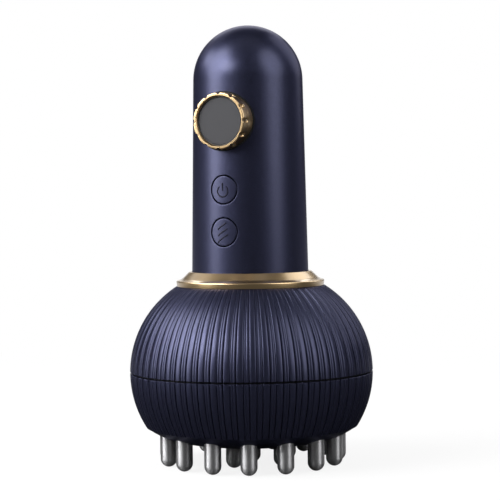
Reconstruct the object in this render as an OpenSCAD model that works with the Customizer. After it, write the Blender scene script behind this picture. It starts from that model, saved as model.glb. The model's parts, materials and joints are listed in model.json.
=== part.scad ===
// Electric gua sha massager: a domed handle with a rotary dial and two keys,
// on a round fluted head that stands on twenty-one stone pins.
// Origin: on the plane of the pin tips, on the axis of the head. +Z up.
// The dial and the keys face -Y.

/* [Overall] */
// Height from the pin tips to the top of the handle
total_h = 172.6; // [150:0.1:210]

/* [Head] */
// Widest diameter of the head, over its ribs
head_d = 96; // [94:0.5:116]
// Radius of the one arc that rounds the head from neck to base
head_arc_r = 40.2; // [39:0.1:42]
// Height of the widest line above the pin tips
head_mid_z = 36.2; // [35:0.1:38]
// Height where the neck ring sits on the head
neck_z = 70.2; // [66:0.1:71]
// Height of the corner between the lower shell and the pin plate
base_z = 14.7; // [14:0.1:16]
// Wall of both head shells
head_wall = 2.2; // [1.8:0.1:2.6]
// Dark gap between the two head shells
seam_gap = 0.45; // [0.3:0.05:0.8]

/* [Flutes] */
// Flutes round the head, one of them at the front
flutes_n = 60; // [30:1:66]
// Width of a flute at the widest line of the head
flute_w = 0.9; // [0.4:0.05:1.2]
// Depth of a flute
flute_depth = 0.55; // [0.3:0.05:0.8]

/* [Handle] */
// Diameter of the handle at the top of the neck ring
handle_base_d = 45.94; // [44:0.1:48]
// Diameter of the handle where its dome starts
handle_top_d = 43.14; // [42:0.1:46]
// Wall of the handle
handle_wall = 2; // [1.6:0.1:2.4]

/* [Neck ring] */
// Height of the ring's upright band
ring_band_h = 2.1; // [1.6:0.1:3]
// Height of the whole ring
ring_h = 5.7; // [5:0.1:8]
// Width of the ledge inside the band
ring_ledge_w = 2.6; // [2:0.1:3.5]
// Width of the rim that meets the handle
ring_rim_w = 0.9; // [0.6:0.1:1.2]

/* [Dial] */
// Height of the dial's axis
dial_z = 134.3; // [128:0.1:140]
// Diameter of the dial's collar where it meets the handle
dial_foot_d = 23.7; // [22:0.1:24.4]
// Diameter of the turning ring
dial_ring_d = 22; // [21.5:0.1:22.6]
// Height of the ring's front face above the handle
dial_rise = 4.1; // [3.8:0.1:5]
// Depth of the turning ring
dial_ring_depth = 3.5; // [3.1:0.1:3.7]
// Diameter of the display window
display_d = 17.9; // [17:0.1:18.4]
// Depth of the window behind the ring's front face
display_recess = 1.3; // [1.1:0.05:1.5]
// Finger notches round the ring
dial_notches = 12; // [6:1:18]

/* [Keys] */
// Diameter of a key cap
key_d = 10.7; // [9:0.1:12]
// Gap round a key cap
key_gap = 0.3; // [0.2:0.05:0.5]
// Height of the power key
power_z = 108; // [104:0.1:112]
// Height of the mode key
mode_z = 91.7; // [90:0.1:93]
// Travel of a key
key_travel = 0.5; // [0.3:0.05:0.8]

/* [Pins] */
// Diameter of a stone pin
pin_d = 6.5; // [5:0.1:7.8]
// Pins in the outer ring
outer_pins = 15; // [10:1:15]
// Diameter of the circle through the outer pins
outer_pin_pcd = 68; // [64:0.5:68]
// Pins in the inner ring
inner_pins = 5; // [3:1:6]
// Diameter of the circle through the inner pins
inner_pin_pcd = 32; // [28:0.5:36]
// Width of the shoulder that holds a pin in the plate
pin_shoulder = 0.65; // [0.4:0.05:0.9]

/* [Pin plate] */
// Height of the plate's lowest point above the pin tips
plate_crown_z = 6.85; // [6:0.05:8]
// Radius of the shallow crown of the plate
crown_r = 160; // [130:1:200]
// Radius that turns the crown up to the plate's edge
edge_r = 29; // [28:0.5:40]
// Wall of the plate
plate_wall = 2; // [1.5:0.1:2.4]
// Height of the deck that carries the heat spreader
deck_z = 15; // [14.5:0.1:16]

/* [Drive] */
// Diameter of the motor
motor_d = 24.4; // [20:0.1:28]
// Length of the motor's can
motor_can_h = 25; // [20:0.5:30]
// Radius of the eccentric weight
weight_r = 9.5; // [8:0.1:10.5]

/* [Power] */
// Diameter of the battery cell
cell_d = 18.4; // [16:0.1:19]
// Length of the battery cell
cell_h = 65; // [50:0.5:65]

/* [Hidden] */

$fn = 96;

// How far a cutter runs past the faces that it cuts
over = 1;
// Clearance of a part that is fitted by hand
fit_gap = 0.1;
// Radial clearance of what turns or slides
run_gap = 0.05;

// Colours
navy = "#23243c";
gold = "#c9a86a";
stone = "#77777a";
black_plastic = "#202124";
board_green = "#1f5a3c";
steel = "#b9bcc2";

// Head
head_r = head_d / 2;
arc_c = head_r - head_arc_r;
seam_low_z = head_mid_z - seam_gap / 2 + 0.2;
seam_high_z = seam_low_z + seam_gap;
tongue_h = 2;
tongue_w = 1.4;
tongue_gap = 0.3;

function head_r_at(z, inset = 0) =
    arc_c + sqrt(pow(head_arc_r - inset, 2) - pow(z - head_mid_z, 2));

tongue_r = head_r_at(seam_high_z + tongue_h, head_wall) - tongue_gap;
flute_angle = flute_w / head_r * 180 / PI;

// Handle
handle_r_top = handle_top_d / 2;
dome_z = total_h - handle_r_top;
ring_top_z = neck_z + ring_h;
foot_h = 1;
handle_low_z = neck_z + foot_h;
handle_taper = (handle_base_d / 2 - handle_r_top) / (dome_z - ring_top_z);

function handle_r(z) = handle_r_top + (dome_z - z) * handle_taper;
function wall_r(z) = handle_r(z) - handle_wall;

// Dial, as distances from the handle's axis
dial_front = handle_r(dial_z) + dial_rise;
dial_back = dial_front - dial_ring_depth;
collar_front = dial_back - fit_gap;
lens_front = dial_front - display_recess;
lens_t = 1;
lens_r = display_d / 2;
module_floor_t = 0.5;
module_t = lens_front - lens_t - collar_front - module_floor_t;
module_r = lens_r - 0.45;
seat_wall = 0.45;
seat_r = lens_r + seat_wall;
seat_lip = 0.25;
seat_lip_front = lens_front + 0.6;
seat_lip_back = seat_lip_front - 0.4;
ring_bore_r = seat_r + run_gap;
lip_cavity_r = seat_r + seat_lip + fit_gap;
ring_lip_r = lens_r + 0.35;
ring_edge_round = 0.55;
spigot_r = lens_r - 0.75;
spigot_bore_r = spigot_r - 0.8;
spigot_end = wall_r(dial_z) - 4;
notch_r = 0.8;
notch_len = 1.9;
notch_bite = 0.42;
clip_t = 0.7;
clip_r = spigot_r + 2.2;
clip_front = sqrt(pow(wall_r(dial_z + clip_r), 2) - pow(clip_r, 2)) - fit_gap;
magnet_r = 0.5;
magnet_h = 1;
magnet_count = 6;

// Keys, as distances from the handle's axis
key_r = key_d / 2;
key_hole_r = key_r + key_gap;
key_flange_r = key_r + 1;
key_flange_t = 0.8;
key_seat_gap = 0.25;
key_stem_r = 1.6;
mark_w = 0.45;
mark_depth = 0.3;
plunger_r = 1.75;
plunger_out = 0.9;

function key_flange_front(z) =
    sqrt(pow(wall_r(z + key_flange_r), 2) - pow(key_flange_r, 2)) - key_seat_gap;

// Control board, standing behind the keys
board_front = 12.6;
board_t = 1.2;
board_back = board_front - board_t;
board_w = 26;
board_low_z = 82;
board_high_z = 146;
case_w = 6;
case_t = 3.4;
case_front = board_front + case_t;
plunger_front = case_front + plunger_out;
plunger_len = 3;
board_screw_x = 10;
board_screw_zs = [board_low_z + 3, board_high_z - 3];

// Screws: radius of shank, head and clearance hole
screw_r = 1.25;
screw_head_r = 2.1;
screw_head_h = 1.6;
screw_hole_r = screw_r + run_gap;

// Inner frame
frame_t = 2.5;
frame_top_z = neck_z + frame_t;
frame_r = wall_r(frame_top_z) - 0.3;
spine_front = 8;
spine_t = 2;
spine_w = 34;
cell_y = 5.8;
cell_r = cell_d / 2;
cell_low_z = 88.3;
cell_high_z = cell_low_z + cell_h;
bulkhead_t = 2;
bulkhead_gap = 0.4;
bulkhead_zs = [cell_low_z + 22, cell_low_z + 44];
wire_hole_r = 6;
handle_screw_pcr = 17.3;
handle_screws_n = 3;
handle_boss_r = 3;
handle_boss_h = 11;
roof_t = head_wall;
roof_hole_r = 12;

// Charging socket at the back, above the neck ring
socket_w = 8.94;
socket_h = 3.26;
socket_len = 7.35;
socket_shell = 0.3;
socket_z = 82;
socket_recess = 0.8;
socket_mouth = handle_r(socket_z) - socket_recess;
slot_gap = 0.3;
charge_board_t = 1.2;
charge_board_w = 16;
charge_board_len = 14;
charge_board_top = socket_z - socket_h / 2;
charge_post_r = 2;

// Pin plate
plate_gap = 0.35;
plate_r = head_r_at(base_z) - plate_gap;
plate_lift = plate_wall * 1.15;
plate_spigot_r = head_r_at(base_z, head_wall) - 0.2;
plate_spigot_w = 1.5;
plate_spigot_h = 3.9;
plate_bead = 1.2;
// The crown stays flat enough for its edge arc to reach the corner of a wider head
plate_drop = base_z - plate_crown_z;
plate_crown_r = max(crown_r, 1.1 * (pow(plate_r, 2) + pow(plate_drop, 2)) / (2 * plate_drop));
crown_c_z = plate_crown_z + plate_crown_r;
corner_d = norm([plate_r, crown_c_z - base_z]);
arc_gap = plate_crown_r - edge_r;
edge_turn = acos((pow(arc_gap, 2) + pow(corner_d, 2) - pow(edge_r, 2)) / (2 * arc_gap * corner_d));
edge_start = atan2(plate_r, crown_c_z - base_z) - edge_turn;
edge_c = [arc_gap * sin(edge_start), crown_c_z - arc_gap * cos(edge_start)];

// Height of the plate's outer face at a radius
function plate_z(r) =
    r < plate_crown_r * sin(edge_start)
        ? crown_c_z - sqrt(pow(plate_crown_r, 2) - pow(r, 2))
        : edge_c[1] - sqrt(pow(edge_r, 2) - pow(r - edge_c[0], 2));

// Pins
pin_r = pin_d / 2;
pin_head_r = pin_r + pin_shoulder;
pin_head_h = 1.4;
pin_boss_r = pin_head_r + 1;
pin_neck_in = 0.12;
pin_neck_z = plate_z(outer_pin_pcd / 2 - pin_r - 1.1) - 0.2;

// Radii between the rings of bosses, where the inside of the plate changes its slope
plate_steps = [pin_boss_r + 2, inner_pin_pcd / 2 + pin_boss_r + 0.6,
               outer_pin_pcd / 2 - pin_boss_r - 0.6, plate_r - 2];

// Heater on the deck
spreader_t = 1.5;
spreader_r = plate_spigot_r - plate_spigot_w - 0.6;
spreader_top = deck_z + spreader_t;
spreader_screw_pcr = 25;
spreader_screws_n = 5;
film_t = 0.3;
film_r = spreader_r - 3;
film_hole_r = 6;
film_top = spreader_top + film_t;

// Screw line that clamps lower ledge, motor cradle and upper bosses
ledge_low_z = base_z + 6.4;
ledge_t = 2;
ledge_top_z = ledge_low_z + ledge_t;
cradle_ear_t = 2;
ear_top_z = ledge_top_z + cradle_ear_t;
shell_screws_n = 5;
shell_screw_pcr = head_r_at(ledge_low_z, head_wall) - 3.6;
shell_boss_r = 3;
ledge_in_r = shell_screw_pcr - shell_boss_r;
shell_screw_len = 12;

// Motor
motor_r = motor_d / 2;
cradle_wall = 2.6;
cradle_floor_t = 2.5;
motor_low_z = ear_top_z + 6;
cradle_floor_z = motor_low_z - cradle_floor_t;
cradle_cup_h = 8;
cradle_arm_t = 3;
motor_boss_r = 4;
motor_boss_h = 1.6;
motor_cap_h = 4;
motor_top_z = motor_low_z + motor_can_h;
shaft_r = 1;
motor_screw_r = 8;
weight_h = 5.5;
weight_top_z = cradle_floor_z - screw_head_h - 0.9;
shaft_low_z = weight_top_z - weight_h - 0.4;
shaft_top_z = motor_top_z - 4;

// Turns children to face the front: their +Z points along -Y at height z
module face_front(z) {
    translate([0, 0, z])
        rotate([90, 0, 0])
            children();
}

// Sets children round the axis, the first one at the front
module around(count, r, start = 0) {
    for (i = [0:count - 1])
        rotate([0, 0, start + 360 * i / count])
            translate([0, -r, 0])
                children();
}

// Tube or ring, as a revolved rectangle
module ring_of(r_in, r_out, z, h) {
    translate([0, 0, z])
        difference() {
            cylinder(r = r_out, h = h);
            translate([0, 0, -over])
                cylinder(r = r_in, h = h + 2 * over);
        }
}

// Section through the head's rounding, drawn in by inset
module head_arc(inset = 0) {
    translate([arc_c, head_mid_z])
        circle(head_arc_r - inset);
}

// Part of the head's section between two heights, from an inner radius out
module head_slice(low, high, inner_r, inset = 0) {
    intersection() {
        head_arc(inset);
        translate([inner_r, low])
            square([head_r, high - low]);
    }
}

// Wall of the head between two heights
module head_wall_slice(low, high) {
    difference() {
        head_slice(low, high, arc_c);
        head_arc(head_wall);
    }
}

// Flutes between two heights. Their sides are planes through the axis, so they narrow to the neck.
module flutes(low, high) {
    for (i = [0:flutes_n - 1])
        rotate([0, 0, -90 - flute_angle / 2 + 360 * i / flutes_n])
            rotate_extrude(angle = flute_angle)
                difference() {
                    translate([arc_c, low - over])
                        square([head_arc_r + over, high - low + 2 * over]);
                    head_arc(flute_depth);
                }
}

// Solid inside of the handle's surface, drawn in by inset
module handle_body(inset = 0, low = handle_low_z) {
    r_low = handle_r(low) - inset;
    r_top = handle_r_top - inset;
    rotate_extrude() {
        polygon([[0, low], [r_low, low], [r_top, dome_z], [0, dome_z]]);
        intersection() {
            translate([0, dome_z])
                circle(r_top);
            translate([0, dome_z - over])
                square([r_top + over, r_top + 2 * over]);
        }
    }
}

// Round-ended bar along Y, as the outline of the charging socket
module stadium_bar(w, h, len) {
    r = h / 2;
    rotate([-90, 0, 0])
        linear_extrude(len) {
            square([w - h, h], center = true);
            for (side = [-1, 1])
                translate([side * (w - h) / 2, 0])
                    circle(r);
        }
}

// Screw along Z: the head's top is at z = 0 and the shank points up
module screw(len) {
    cylinder(r = screw_head_r, h = screw_head_h);
    translate([0, 0, screw_head_h])
        cylinder(r = screw_r, h = len);
}

// Handle: drafted tube with a round dome, holes for dial, keys and socket
module handle_shell() {
    color(navy) {
        difference() {
            handle_body();
            handle_body(handle_wall, handle_low_z - over);
            face_front(dial_z)
                cylinder(r = spigot_r + fit_gap, h = head_r);
            for (z = [power_z, mode_z])
                face_front(z)
                    cylinder(r = key_hole_r, h = head_r);
            translate([0, 0, socket_z])
                stadium_bar(socket_w + 2 * slot_gap, socket_h + 2 * slot_gap, head_r);
        }
        handle_bosses();
    }
}

// Screw bosses inside the foot of the handle, each with a web to the wall
module handle_bosses() {
    web_w = 3;
    web_end = wall_r(frame_top_z + handle_boss_h) + handle_wall / 2;
    difference() {
        around(handle_screws_n, 0)
            translate([0, 0, frame_top_z]) {
                translate([0, -handle_screw_pcr, 0])
                    cylinder(r = handle_boss_r, h = handle_boss_h);
                translate([-web_w / 2, -web_end, 0])
                    cube([web_w, web_end - handle_screw_pcr, handle_boss_h]);
            }
        around(handle_screws_n, handle_screw_pcr)
            translate([0, 0, frame_top_z - over])
                cylinder(r = screw_hole_r, h = handle_boss_h);
    }
}

// Neck ring: upright band with a rounded lip, a ledge and a slope to a thin rim
module neck_ring() {
    ring_r = head_r_at(neck_z);
    bore_r = handle_r(handle_low_z) + fit_gap;
    foot_r = bore_r - 1.8;
    lip_r = 0.7;
    ledge_r = ring_r - ring_ledge_w;
    ledge_z = neck_z + ring_band_h + 0.8;
    color(gold)
        rotate_extrude() {
            polygon([
                [foot_r, neck_z], [ring_r, neck_z], [ring_r, neck_z + ring_band_h - lip_r],
                [ring_r - lip_r, neck_z + ring_band_h], [ledge_r, ledge_z],
                [bore_r + ring_rim_w, ring_top_z - 0.25], [bore_r + ring_rim_w - 0.3, ring_top_z],
                [bore_r, ring_top_z], [bore_r, handle_low_z], [foot_r, handle_low_z]
            ]);
            translate([ring_r - lip_r, neck_z + ring_band_h - lip_r])
                circle(lip_r);
        }
}

// Upper half of the head, with its roof and the bosses for the shell screws
module upper_head_shell() {
    color(navy)
        difference() {
            union() {
                rotate_extrude() {
                    head_wall_slice(seam_high_z, neck_z);
                    head_slice(neck_z - roof_t, neck_z, roof_hole_r);
                }
                shell_bosses();
            }
            around(shell_screws_n, shell_screw_pcr)
                translate([0, 0, ear_top_z - over])
                    cylinder(r = screw_hole_r, h = shell_screw_len + over);
            around(handle_screws_n, handle_screw_pcr)
                translate([0, 0, neck_z - roof_t - over])
                    cylinder(r = screw_hole_r, h = roof_t + 2 * over);
            flutes(seam_high_z, neck_z);
        }
}

// Long bosses under the upper wall, each with a web, cut off in the middle of the wall
module shell_bosses() {
    web_w = 1.4;
    web_low_z = seam_high_z + tongue_h + over;
    intersection() {
        around(shell_screws_n, 0) {
            translate([0, -shell_screw_pcr, ear_top_z])
                cylinder(r = shell_boss_r, h = neck_z - ear_top_z);
            translate([-web_w / 2, -head_r, web_low_z])
                cube([web_w, head_r - shell_screw_pcr, neck_z - web_low_z]);
        }
        rotate_extrude()
            head_slice(ear_top_z - over, neck_z, ledge_in_r - over, head_wall / 2);
    }
}

// Lower half of the head, with the tongue at the seam and the screw ledge
module lower_head_shell() {
    tongue_root = 3;
    color(navy)
        difference() {
            rotate_extrude() {
                head_wall_slice(base_z, seam_low_z);
                translate([tongue_r - tongue_w, seam_low_z - tongue_root])
                    square([tongue_w, tongue_root + seam_gap + tongue_h]);
                head_slice(seam_low_z - tongue_root, seam_low_z - over, tongue_r - tongue_w, head_wall / 2);
                head_slice(ledge_low_z, ledge_top_z, ledge_in_r, head_wall / 2);
            }
            around(shell_screws_n, shell_screw_pcr)
                translate([0, 0, ledge_low_z - over])
                    cylinder(r = screw_hole_r, h = ledge_t + 2 * over);
            flutes(base_z, seam_low_z);
        }
}

// Rubber ring that shows as the dark line between the two shells
module seam_gasket() {
    color(black_plastic)
        ring_of(tongue_r + run_gap, head_r - flute_depth - 0.15, seam_low_z, seam_gap);
}

// Section under the plate's outer face
module plate_under() {
    split_r = plate_crown_r * sin(edge_start);
    top_z = base_z + plate_wall + over;
    intersection() {
        translate([0, crown_c_z])
            circle(plate_crown_r, $fn = 720);
        translate([0, plate_crown_z - over])
            square([split_r, top_z - plate_crown_z + over]);
    }
    intersection() {
        translate(edge_c)
            circle(edge_r, $fn = 180);
        translate([split_r, plate_crown_z - over])
            square([plate_r + over - split_r, top_z - plate_crown_z + over]);
    }
}

// Section above a line of straight slopes that lies at a height over the outer face
module plate_above(lift, top) {
    polygon(concat(
        [[0, top], [0, plate_z(plate_steps[0]) + lift]],
        [for (r = plate_steps) [r, plate_z(r) + lift]],
        [[plate_steps[3], top]]
    ));
}

// Places of all pins
module each_pin_place() {
    around(outer_pins, outer_pin_pcd / 2)
        children();
    around(inner_pins, inner_pin_pcd / 2)
        children();
    children();
}

// Domed plate with a boss for every pin, a deck and a snap-in rim
module pin_plate() {
    color(navy)
        difference() {
            union() {
                rotate_extrude() {
                    difference() {
                        intersection() {
                            plate_under();
                            square([plate_r, base_z]);
                        }
                        plate_above(plate_lift, base_z + over);
                    }
                    translate([plate_spigot_r - plate_spigot_w, base_z - over])
                        square([plate_spigot_w, plate_spigot_h + over]);
                    translate([plate_spigot_r - plate_spigot_w, base_z + plate_spigot_h - plate_bead])
                        square([plate_spigot_w + 0.9, plate_bead]);
                }
                intersection() {
                    union() {
                        each_pin_place()
                            cylinder(r = pin_boss_r, h = deck_z);
                        around(spreader_screws_n, spreader_screw_pcr, 180 / spreader_screws_n)
                            cylinder(r = screw_r + 1.6, h = deck_z);
                    }
                    rotate_extrude()
                        intersection() {
                            plate_above(plate_lift / 2, deck_z);
                            square([plate_spigot_r - plate_spigot_w / 2, deck_z]);
                        }
                }
            }
            each_pin_place() {
                translate([0, 0, -over])
                    cylinder(r = pin_r + run_gap, h = deck_z + over);
                translate([0, 0, deck_z - pin_head_h])
                    cylinder(r = pin_head_r + fit_gap, h = pin_head_h + over);
            }
            around(spreader_screws_n, spreader_screw_pcr, 180 / spreader_screws_n)
                translate([0, 0, plate_crown_z + 3])
                    cylinder(r = screw_hole_r, h = deck_z);
        }
}

// Stone pin: round tip, straight shank, a neck inside the plate and a shouldered head
module stone_pin() {
    rotate_extrude() {
        intersection() {
            translate([0, pin_r])
                circle(pin_r);
            square([pin_r, pin_r]);
        }
        translate([0, pin_r])
            square([pin_r, pin_neck_z - pin_r]);
        translate([0, pin_neck_z])
            square([pin_r - pin_neck_in, deck_z - pin_neck_z]);
        translate([0, deck_z - pin_head_h])
            square([pin_head_r, pin_head_h]);
    }
}

module outer_pins() {
    color(stone)
        around(outer_pins, outer_pin_pcd / 2)
            stone_pin();
}

module inner_pins() {
    color(stone)
        around(inner_pins, inner_pin_pcd / 2)
            stone_pin();
}

module centre_pin() {
    color(stone)
        stone_pin();
}

// Aluminium disc that presses on the pins' heads and warms them
module heat_spreader() {
    color("silver")
        difference() {
            translate([0, 0, deck_z])
                cylinder(r = spreader_r, h = spreader_t);
            around(spreader_screws_n, spreader_screw_pcr, 180 / spreader_screws_n)
                translate([0, 0, deck_z - over])
                    cylinder(r = screw_hole_r, h = spreader_t + 2 * over);
        }
}

// Heating film, with holes round the screw heads
module heater_film() {
    color("orange")
        difference() {
            ring_of(film_hole_r, film_r, spreader_top, film_t);
            around(spreader_screws_n, spreader_screw_pcr, 180 / spreader_screws_n)
                translate([0, 0, spreader_top - over])
                    cylinder(r = screw_head_r + 0.5, h = film_t + 2 * over);
        }
}

// Cut-out that opens the heater circuit when the film runs too warm
module thermostat() {
    body = [7, 4, 1.8];
    tab = [2.6, 1.8, 0.4];
    color(black_plastic)
        translate([14, -body[1] / 2, film_top]) {
            cube(body);
            for (x = [-tab[0], body[0]])
                translate([x, (body[1] - tab[1]) / 2, body[2] / 2])
                    cube(tab);
        }
}

// Screws that hold the heat spreader to the plate's bosses
module spreader_screws() {
    color(steel)
        around(spreader_screws_n, spreader_screw_pcr, 180 / spreader_screws_n)
            translate([0, 0, spreader_top + screw_head_h])
                mirror([0, 0, 1])
                    screw(4.5);
}

// Screws that clamp ledge, cradle and upper bosses
module shell_screws() {
    color(steel)
        around(shell_screws_n, shell_screw_pcr)
            translate([0, 0, ledge_low_z - screw_head_h])
                screw(shell_screw_len);
}

// Screws that clamp roof, frame and handle
module handle_screws() {
    color(steel)
        around(handle_screws_n, handle_screw_pcr)
            translate([0, 0, neck_z - roof_t - screw_head_h])
                screw(roof_t + frame_t + 7);
}

// Gold collar between the handle and the turning ring
module dial_collar() {
    color(gold)
        difference() {
            face_front(dial_z)
                cylinder(r1 = dial_foot_d / 2, r2 = dial_ring_d / 2 + 0.1, h = collar_front);
            handle_body(-run_gap);
            face_front(dial_z)
                cylinder(r = spigot_r + run_gap, h = head_r);
        }
}

// Fixed bush that the ring turns on. It holds the display and the lens.
module dial_seat() {
    color(black_plastic)
        face_front(dial_z)
            rotate_extrude()
                polygon([
                    [spigot_bore_r, spigot_end], [spigot_r, spigot_end], [spigot_r, collar_front],
                    [seat_r, collar_front], [seat_r, seat_lip_back], [seat_r + seat_lip, seat_lip_back],
                    [seat_r + seat_lip, seat_lip_front], [lens_r + run_gap, seat_lip_front],
                    [lens_r + run_gap, lens_front - lens_t], [module_r + run_gap, lens_front - lens_t],
                    [module_r + run_gap, lens_front - lens_t - module_t],
                    [spigot_bore_r, lens_front - lens_t - module_t]
                ]);
}

// Turning ring with finger notches over its front edge
module dial_ring() {
    r_out = dial_ring_d / 2;
    lip_back = seat_lip_front + fit_gap;
    cavity_back = seat_lip_back - fit_gap;
    pocket_r = (ring_bore_r + r_out) / 2;
    color(gold)
        face_front(dial_z)
            difference() {
                rotate_extrude() {
                    polygon([
                        [ring_bore_r, dial_back], [r_out, dial_back],
                        [r_out - 0.1, dial_front - ring_edge_round],
                        [r_out - 0.1 - ring_edge_round, dial_front], [ring_lip_r, dial_front],
                        [ring_lip_r, lip_back], [lip_cavity_r, lip_back],
                        [lip_cavity_r, cavity_back], [ring_bore_r, cavity_back]
                    ]);
                    translate([r_out - 0.1 - ring_edge_round, dial_front - ring_edge_round])
                        circle(ring_edge_round);
                }
                for (i = [0:dial_notches - 1])
                    rotate([0, 0, 360 * i / dial_notches])
                        translate([0, r_out + notch_r - notch_bite, dial_front - notch_len]) {
                            cylinder(r = notch_r, h = notch_len + over);
                            sphere(notch_r);
                        }
                for (i = [0:magnet_count - 1])
                    rotate([0, 0, 360 * (i + 0.5) / magnet_count])
                        translate([0, pocket_r, dial_back - over])
                            cylinder(r = magnet_r, h = magnet_h + over);
            }
}

// Magnets in the back of the ring, read by a sensor on the board
module dial_magnets() {
    pocket_r = (ring_bore_r + dial_ring_d / 2) / 2;
    color(steel)
        face_front(dial_z)
            for (i = [0:magnet_count - 1])
                rotate([0, 0, 360 * (i + 0.5) / magnet_count])
                    translate([0, pocket_r, dial_back])
                        cylinder(r = magnet_r, h = magnet_h);
}

// Clip that holds the seat's spigot from inside the wall
module dial_clip() {
    color(steel)
        face_front(dial_z)
            ring_of(spigot_r + run_gap, clip_r, clip_front - clip_t, clip_t);
}

// Dark window of the display
module display_lens() {
    color("#4b4c52")
        face_front(dial_z)
            translate([0, 0, lens_front - lens_t])
                cylinder(r = lens_r, h = lens_t);
}

// Round display behind the window, with its solder pad at the back
module display_module() {
    pad_w = 8;
    color(black_plastic)
        face_front(dial_z) {
            translate([0, 0, lens_front - lens_t - module_t])
                cylinder(r = module_r, h = module_t);
            translate([-pad_w / 2, -pad_w / 2, lens_front - lens_t - module_t - 1])
                cube([pad_w, pad_w, 1 + over / 2]);
        }
}

// Key: a cap flush with the handle, a flange behind the wall and a stem. Children are engraved.
module key(z) {
    flange_front = key_flange_front(z);
    flange_back = flange_front - key_flange_t;
    color(navy) {
        difference() {
            intersection() {
                face_front(z)
                    translate([0, 0, flange_front - over / 2])
                        cylinder(r = key_r, h = head_r);
                handle_body();
            }
            face_front(z)
                translate([0, 0, handle_r(z) - mark_depth])
                    linear_extrude(2 * mark_depth)
                        children();
        }
        face_front(z) {
            translate([0, 0, flange_back])
                cylinder(r = key_flange_r, h = key_flange_t);
            translate([0, 0, plunger_front])
                cylinder(r = key_stem_r, h = flange_front - plunger_front - over / 4);
        }
    }
}

// Stroke of a symbol between two points
module stroke(from, to) {
    run = to - from;
    translate(from)
        rotate([0, 0, atan2(run[1], run[0])])
            translate([0, -mark_w / 2])
                square([norm(run), mark_w]);
}

// Key with an open circle and a bar through its gap
module power_key() {
    key(power_z) {
        stroke([0, 0.6], [0, 2.9]);
        difference() {
            circle(2.2 + mark_w / 2);
            circle(2.2 - mark_w / 2);
            polygon([[0, 0], [3, 4], [-3, 4]]);
        }
    }
}

// Key with three sloping strokes
module mode_key() {
    key(mode_z)
        for (rise = [-1.6, 0, 1.6])
            stroke([-2, rise - 1.2], [2, rise + 1.2]);
}

// Plunger of a key's switch, which the stem pushes into the case
module plunger(z) {
    color(steel)
        face_front(z)
            translate([0, 0, plunger_front - plunger_len])
                cylinder(r = plunger_r, h = plunger_len);
}

module power_plunger() {
    plunger(power_z);
}

module mode_plunger() {
    plunger(mode_z);
}

// Cases of the two switches, bored for their plungers
module switch_cases() {
    bore_back = plunger_front - plunger_len - key_travel - 0.15;
    color(black_plastic)
        for (z = [power_z, mode_z])
            face_front(z)
                difference() {
                    translate([-case_w / 2, -case_w / 2, board_front])
                        cube([case_w, case_w, case_t]);
                    translate([0, 0, bore_back])
                        cylinder(r = plunger_r + run_gap, h = case_t + over);
                }
}

// Board behind the keys and the dial
module control_board() {
    color(board_green)
        difference() {
            translate([-board_w / 2, -board_front, board_low_z])
                cube([board_w, board_t, board_high_z - board_low_z]);
            board_screw_places()
                translate([0, 0, board_back - over])
                    cylinder(r = screw_hole_r, h = board_t + 2 * over);
        }
}

// Places of the board's four screws
module board_screw_places() {
    for (z = board_screw_zs)
        face_front(z)
            for (side = [-1, 1])
                translate([side * board_screw_x, 0, 0])
                    children();
}

// Controller, driver, dial sensor and coil on the front of the board
module board_chips() {
    color(black_plastic) {
        face_front(120)
            translate([-4, -4, board_front])
                cube([8, 8, 1.2]);
        face_front(99.8)
            translate([-2.5, -2, board_front])
                cube([5, 4, 1.4]);
        face_front(99.8)
            translate([8, 0, board_front])
                cylinder(r = 3, h = 2.6);
        face_front(dial_z)
            translate([6, -1.5, board_front])
                cube([3, 3, 1]);
    }
}

// Screws that hold the board to the frame's posts
module board_screws() {
    color(steel)
        board_screw_places()
            translate([0, 0, board_front + screw_head_h])
                mirror([0, 0, 1])
                    screw(5);
}

// Carrier for battery and boards, standing on the roof of the head
module inner_frame() {
    post_r = 2.4;
    stop_low = cell_low_z - 0.3 - bulkhead_t;
    color("#4a4d55")
        difference() {
            union() {
                translate([0, 0, neck_z])
                    cylinder(r = frame_r, h = frame_t);
                translate([-spine_w / 2, -spine_front, neck_z])
                    cube([spine_w, spine_t, board_high_z - neck_z]);
                bulkhead(stop_low);
                for (z = bulkhead_zs)
                    difference() {
                        bulkhead(z);
                        translate([0, cell_y, z - over])
                            cylinder(r = cell_r + 0.15, h = bulkhead_t + 2 * over);
                    }
                board_screw_places()
                    translate([0, 0, spine_front - over])
                        cylinder(r = post_r, h = board_back - spine_front + over);
                for (side = [-1, 1])
                    translate([side * 5.5, 9, frame_top_z - over])
                        cylinder(r = charge_post_r, h = charge_board_top - charge_board_t - frame_top_z + over);
            }
            board_screw_places()
                translate([0, 0, spine_front - spine_t + 0.4])
                    cylinder(r = screw_hole_r, h = board_back);
            around(handle_screws_n, handle_screw_pcr)
                translate([0, 0, neck_z - over])
                    cylinder(r = screw_hole_r, h = frame_t + 2 * over);
            translate([0, -spine_front + spine_t / 2, neck_z - over])
                intersection() {
                    cylinder(r = wire_hole_r, h = frame_t + 2 * over);
                    translate([-wire_hole_r, spine_t, 0])
                        cube([2 * wire_hole_r, wire_hole_r, frame_t + 2 * over]);
                }
        }
}

// Half-round shelf of the frame that follows the inside of the handle
module bulkhead(z) {
    r = wall_r(z + bulkhead_t) - bulkhead_gap;
    translate([0, 0, z])
        linear_extrude(bulkhead_t)
            intersection() {
                circle(r);
                translate([-r, -spine_front + spine_t / 2])
                    square([2 * r, 2 * r]);
            }
}

// Rechargeable cell in its wrap
module battery_cell() {
    color("#4f7fb5")
        translate([0, cell_y, cell_low_z])
            cylinder(r = cell_r, h = cell_h);
}

// Nickel tabs on both poles of the cell
module cell_tabs() {
    tab = [8, 12, 0.25];
    color(steel)
        for (z = [cell_low_z - tab[2], cell_high_z])
            translate([-tab[0] / 2, cell_y - tab[1] / 2, z])
                cube(tab);
}

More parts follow.
